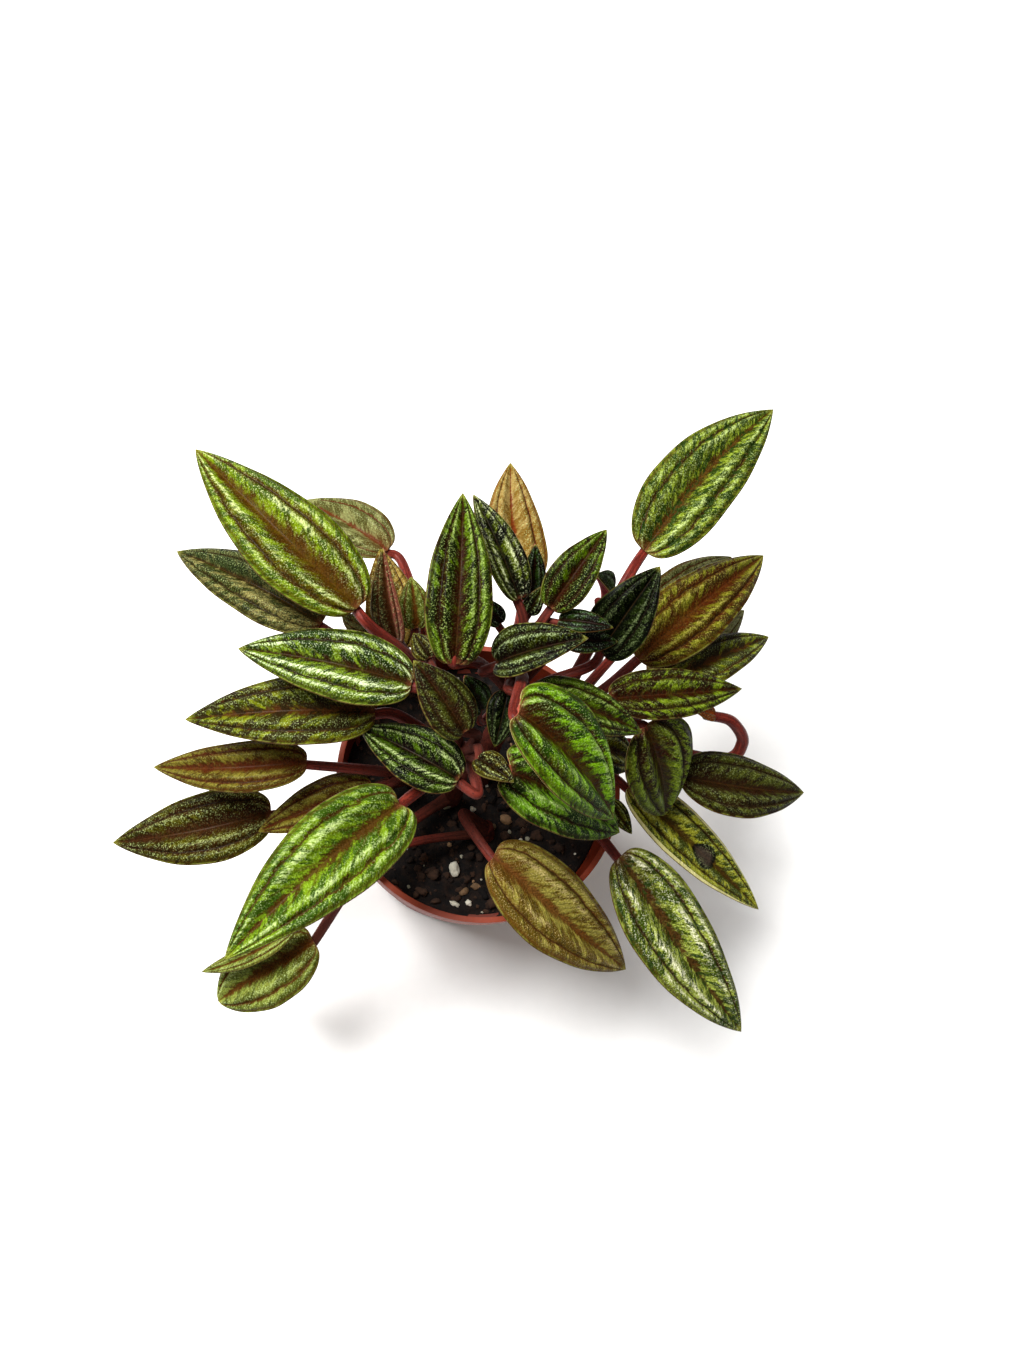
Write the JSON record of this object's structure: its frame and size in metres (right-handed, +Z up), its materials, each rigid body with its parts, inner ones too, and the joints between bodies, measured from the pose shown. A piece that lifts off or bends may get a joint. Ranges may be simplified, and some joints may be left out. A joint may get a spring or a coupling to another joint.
{
  "type": "potted peperomia",
  "caption": "Small house plant with striped oval leaves on red petioles, rooted in soil in a tapered round pot.",
  "frame": {"origin": "centre of the pot's flat foot, on the surface that it stands on", "axes": "+Z up along the pot's axis, +X to the right and -Y towards a viewer who looks down on the plant from the front"},
  "size_m": [0.168, 0.147, 0.1252],
  "materials": {
    "pot": "matte",
    "soil": "matte",
    "stem": "satin",
    "leaf_lime": "satin",
    "leaf_dark": "satin",
    "leaf_olive": "satin",
    "leaf_gold": "satin"
  },
  "bodies": {
    "root": {"pot": "pot", "soil": "soil", "stem_crown": "stem", "leaf_crown_1": "leaf_lime", "leaf_crown_2": "leaf_lime", "leaf_crown_3": "leaf_dark", "leaf_crown_4": "leaf_gold", "leaf_crown_5": "leaf_dark", "leaf_crown_6": "leaf_lime", "leaf_crown_7": "leaf_dark", "leaf_crown_8": "leaf_lime", "leaf_crown_9": "leaf_dark", "leaf_crown_10": "leaf_dark", "leaf_crown_11": "leaf_dark", "leaf_crown_12": "leaf_dark", "leaf_crown_13": "leaf_dark", "leaf_crown_14": "leaf_dark", "leaf_crown_15": "leaf_dark", "leaf_crown_16": "leaf_dark", "stem_left": "stem", "leaf_left_1": "leaf_lime", "leaf_left_2": "leaf_lime", "leaf_left_3": "leaf_lime", "leaf_left_4": "leaf_lime", "leaf_left_5": "leaf_dark", "leaf_left_6": "leaf_dark", "leaf_left_7": "leaf_lime", "leaf_left_8": "leaf_olive", "stem_west": "stem", "leaf_west_1": "leaf_olive", "leaf_west_2": "leaf_olive", "leaf_west_3": "leaf_olive", "stem_front": "stem", "leaf_front_1": "leaf_olive", "leaf_front_2": "leaf_olive", "stem_right": "stem", "leaf_right_1": "leaf_lime", "leaf_right_2": "leaf_olive", "leaf_right_3": "leaf_lime", "leaf_right_4": "leaf_lime", "leaf_right_5": "leaf_olive", "leaf_right_6": "leaf_lime", "leaf_right_7": "leaf_olive", "leaf_right_8": "leaf_olive", "leaf_right_9": "leaf_lime", "leaf_right_10": "leaf_olive", "leaf_right_11": "leaf_lime", "leaf_right_12": "leaf_dark", "leaf_right_13": "leaf_lime", "stem_back": "stem", "leaf_back_1": "leaf_lime", "leaf_back_2": "leaf_dark", "leaf_back_3": "leaf_olive", "leaf_back_4": "leaf_gold", "leaf_back_5": "leaf_dark", "leaf_back_6": "leaf_olive", "leaf_back_7": "leaf_olive", "leaf_back_8": "leaf_olive"}
  },
  "joints": []
}
